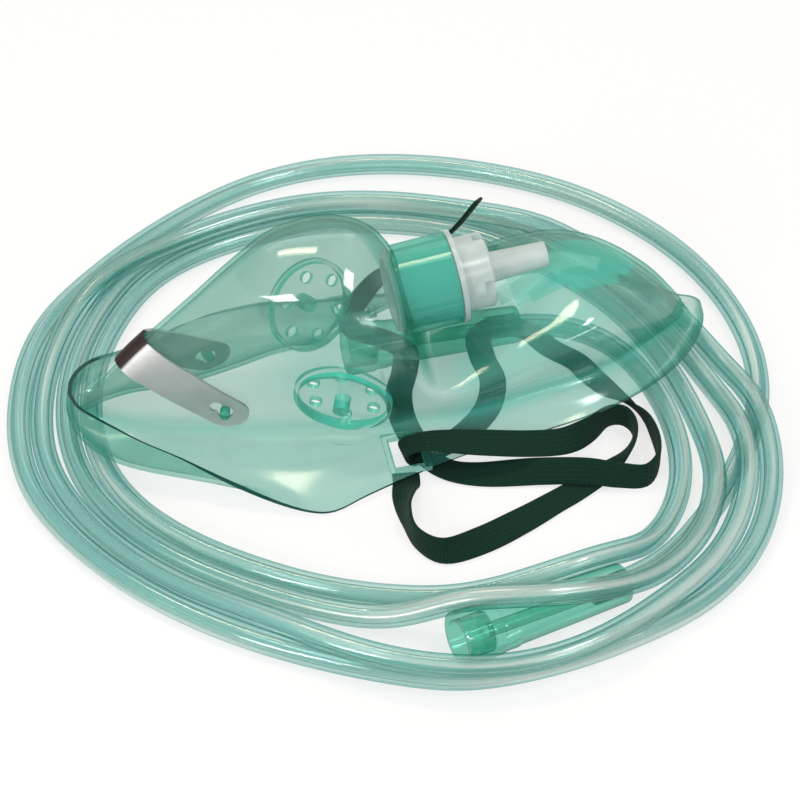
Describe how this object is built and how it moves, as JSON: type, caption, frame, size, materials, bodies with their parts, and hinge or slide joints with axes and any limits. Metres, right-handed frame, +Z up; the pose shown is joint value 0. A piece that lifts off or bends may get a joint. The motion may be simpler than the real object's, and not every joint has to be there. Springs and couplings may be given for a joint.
{
  "type": "oxygen face mask",
  "caption": "Clear green oxygen face mask with nose clip, side vents, swivel connector and elastic strap, lying on its coiled clear tubing with a cup connector.",
  "frame": {"origin": "on the surface the object lies on, under the middle of the mask's length, on its plane of symmetry", "axes": "+X along the mask from its nose end to its chin end, +Z up, +Y to the mask's own right side as it lies, away from the tubing's front"},
  "size_m": [0.1867, 0.1927, 0.0531],
  "materials": {
    "clear_green_vinyl": "glossy see-through soft vinyl",
    "dull_aluminium": "dull rolled strip",
    "green_plastic": "see-through moulded plastic",
    "dark_green_elastic": "flat woven elastic",
    "clear_tubing_vinyl": "glossy see-through soft vinyl"
  },
  "bodies": {
    "root": {"mask_shell": "clear_green_vinyl", "nose_clip": "dull_aluminium", "head_strap": "dark_green_elastic", "tubing_coil": "clear_tubing_vinyl", "tubing_outer_loop": "clear_tubing_vinyl", "tubing_inner_run": "clear_tubing_vinyl", "tubing_middle_run": "clear_tubing_vinyl", "tubing_chin_run": "clear_tubing_vinyl", "flowmeter_connector": "green_plastic", "mask_tube_connector": "green_plastic"},
    "connector": {"swivel_connector": "green_plastic"}
  },
  "joints": [
    {"name": "connector_swivel", "type": "hinge", "parent": "root", "child": "connector", "pos_m": [0.0045, 0, 0.0314], "axis": [0.9945, 0, 0.1045], "continuous": true}
  ]
}
